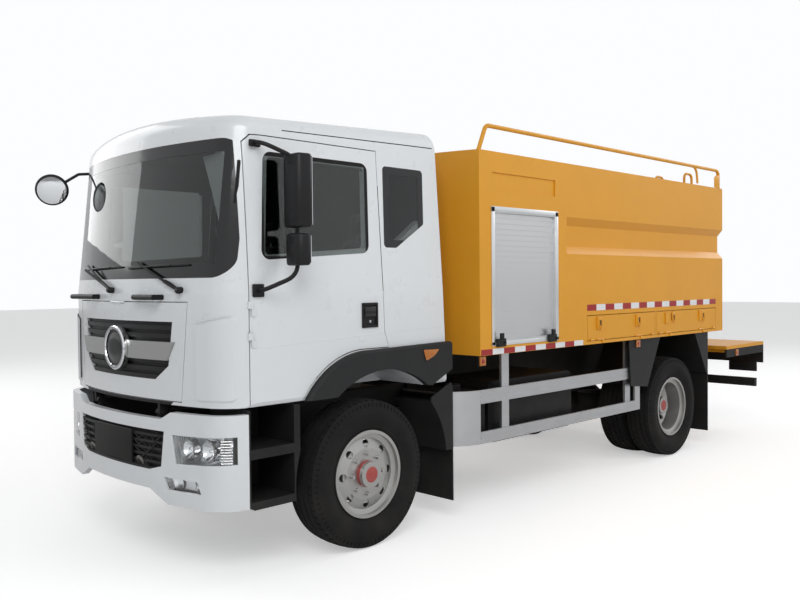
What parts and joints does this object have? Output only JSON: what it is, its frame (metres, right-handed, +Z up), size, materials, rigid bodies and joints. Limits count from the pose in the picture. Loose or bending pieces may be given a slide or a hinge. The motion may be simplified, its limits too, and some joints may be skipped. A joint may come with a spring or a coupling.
{
  "type": "vacuum truck",
  "caption": "Two-axle vacuum truck with a tilting cab, opening doors and front flap, closed yellow body with low side lockers, roof rails and a rear platform.",
  "frame": {"origin": "on the ground under the middle of the truck's length and width", "axes": "+X to the truck's left side, -Y to its front, +Z up"},
  "size_m": [2.6214, 7.7019, 3.0239],
  "materials": {
    "white_paint": "gloss white paint",
    "yellow_paint": "gloss yellow paint",
    "frame_black": "satin black chassis paint",
    "spring_steel": "dull painted spring steel",
    "engine_metal": "rough cast metal",
    "trim_black": "grained black plastic",
    "trim_grey": "grained dark grey plastic",
    "tank_black": "satin black",
    "guard_aluminium": "mill aluminium profile",
    "shutter_aluminium": "anodised slats",
    "inlet_steel": "machined steel",
    "grille_silver": "silver-grey satin",
    "window_glass": "tinted window glass",
    "lamp_glass": "clear lamp cover",
    "lamp_red": "red lamp lens",
    "seat_fabric": "woven dark cloth",
    "tyre_rubber": "black rubber",
    "rim_silver": "silver paint"
  },
  "bodies": {
    "chassis": {"chassis_frame": "frame_black", "front_axle_beam": "frame_black", "rear_axle": "frame_black", "leaf_springs": "spring_steel", "engine_block": "engine_metal", "driveline": "engine_metal", "front_bumper": "white_paint", "bumper_trim": "trim_black", "headlamps": "lamp_glass", "signal_lamps": "lamp_red", "mudguards": "trim_black", "side_tanks": "tank_black", "side_guards": "guard_aluminium", "body_box": "yellow_paint", "roller_shutters": "shutter_aluminium", "roof_rails": "yellow_paint", "rear_platform": "yellow_paint", "rear_underrun": "frame_black", "suction_inlet": "inlet_steel"},
    "cab": {"cab_shell": "white_paint", "cab_glass": "window_glass", "arch_trims": "trim_grey", "cab_fittings": "trim_black", "dashboard": "trim_grey", "seats": "seat_fabric", "seat_bases": "trim_grey"},
    "front_flap_body": {"front_flap": "white_paint", "front_grille": "trim_black", "grille_bar": "grille_silver"},
    "door_left_body": {"door_left": "white_paint", "door_glass_left": "window_glass", "door_mirrors_left": "trim_black"},
    "door_right_body": {"door_right": "white_paint", "door_glass_right": "window_glass", "door_mirrors_right": "trim_black"},
    "knuckle_left_body": {"knuckle_left": "engine_metal"},
    "knuckle_right_body": {"knuckle_right": "engine_metal"},
    "tie_rod_body": {"tie_rod": "spring_steel"},
    "front_wheel_left": {"front_tyre_left": "tyre_rubber", "front_rim_left": "rim_silver"},
    "front_wheel_right": {"front_tyre_right": "tyre_rubber", "front_rim_right": "rim_silver"},
    "rear_wheels_left": {"rear_tyres_left": "tyre_rubber", "rear_rims_left": "rim_silver"},
    "rear_wheels_right": {"rear_tyres_right": "tyre_rubber", "rear_rims_right": "rim_silver"},
    "side_flap_1_left_body": {"side_flap_1_left": "yellow_paint"},
    "side_flap_1_right_body": {"side_flap_1_right": "yellow_paint"},
    "side_flap_2_left_body": {"side_flap_2_left": "yellow_paint"},
    "side_flap_2_right_body": {"side_flap_2_right": "yellow_paint"}
  },
  "joints": [
    {"name": "cab_tilt", "type": "hinge", "parent": "chassis", "child": "cab", "pos_m": [0, -3.7235, 1], "axis": [1, 0, 0], "range_deg": [0, 50]},
    {"name": "door_left_hinge", "type": "hinge", "parent": "cab", "child": "door_left_body", "pos_m": [1.068, -3.4625, 1.9], "axis": [0, 0, -1], "range_deg": [0, 70]},
    {"name": "door_right_hinge", "type": "hinge", "parent": "cab", "child": "door_right_body", "pos_m": [-1.068, -3.4625, 1.9], "axis": [0, 0, 1], "range_deg": [0, 70]},
    {"name": "front_flap_hinge", "type": "hinge", "parent": "cab", "child": "front_flap_body", "pos_m": [0, -3.7945, 1.695], "axis": [-1, 0, 0], "range_deg": [0, 80]},
    {"name": "steer_left", "type": "hinge", "parent": "chassis", "child": "knuckle_left_body", "pos_m": [0.86, -2.5385, 0.506], "axis": [0, 0, 1], "range_deg": [-35, 35]},
    {"name": "steer_right", "type": "hinge", "parent": "chassis", "child": "knuckle_right_body", "pos_m": [-0.86, -2.5385, 0.506], "axis": [0, 0, 1], "range_deg": [-35, 35]},
    {"name": "tie_rod_pivot", "type": "hinge", "parent": "knuckle_left_body", "child": "tie_rod_body", "pos_m": [0.86, -2.3785, 0.42], "axis": [0, 0, 1], "range_deg": [-35, 35]},
    {"name": "front_wheel_left_spin", "type": "hinge", "parent": "knuckle_left_body", "child": "front_wheel_left", "pos_m": [0.968, -2.5385, 0.506], "axis": [1, 0, 0], "continuous": true},
    {"name": "front_wheel_right_spin", "type": "hinge", "parent": "knuckle_right_body", "child": "front_wheel_right", "pos_m": [-0.968, -2.5385, 0.506], "axis": [1, 0, 0], "continuous": true},
    {"name": "rear_wheels_left_spin", "type": "hinge", "parent": "chassis", "child": "rear_wheels_left", "pos_m": [0.8565, 1.6615, 0.506], "axis": [1, 0, 0], "continuous": true},
    {"name": "rear_wheels_right_spin", "type": "hinge", "parent": "chassis", "child": "rear_wheels_right", "pos_m": [-0.8565, 1.6615, 0.506], "axis": [1, 0, 0], "continuous": true},
    {"name": "side_flap_1_left_hinge", "type": "hinge", "parent": "chassis", "child": "side_flap_1_left_body", "pos_m": [1.2014, 0.5865, 1.282], "axis": [0, 1, 0], "range_deg": [0, 90]},
    {"name": "side_flap_2_left_hinge", "type": "hinge", "parent": "chassis", "child": "side_flap_2_left_body", "pos_m": [1.2014, 1.8765, 1.282], "axis": [0, 1, 0], "range_deg": [0, 90]},
    {"name": "side_flap_1_right_hinge", "type": "hinge", "parent": "chassis", "child": "side_flap_1_right_body", "pos_m": [-1.2014, 0.5865, 1.282], "axis": [0, -1, 0], "range_deg": [0, 90]},
    {"name": "side_flap_2_right_hinge", "type": "hinge", "parent": "chassis", "child": "side_flap_2_right_body", "pos_m": [-1.2014, 1.8765, 1.282], "axis": [0, -1, 0], "range_deg": [0, 90]}
  ],
  "couplings": [
    {"joint": "steer_right", "follows": "steer_left", "ratio": 1},
    {"joint": "tie_rod_pivot", "follows": "steer_left", "ratio": -1}
  ]
}
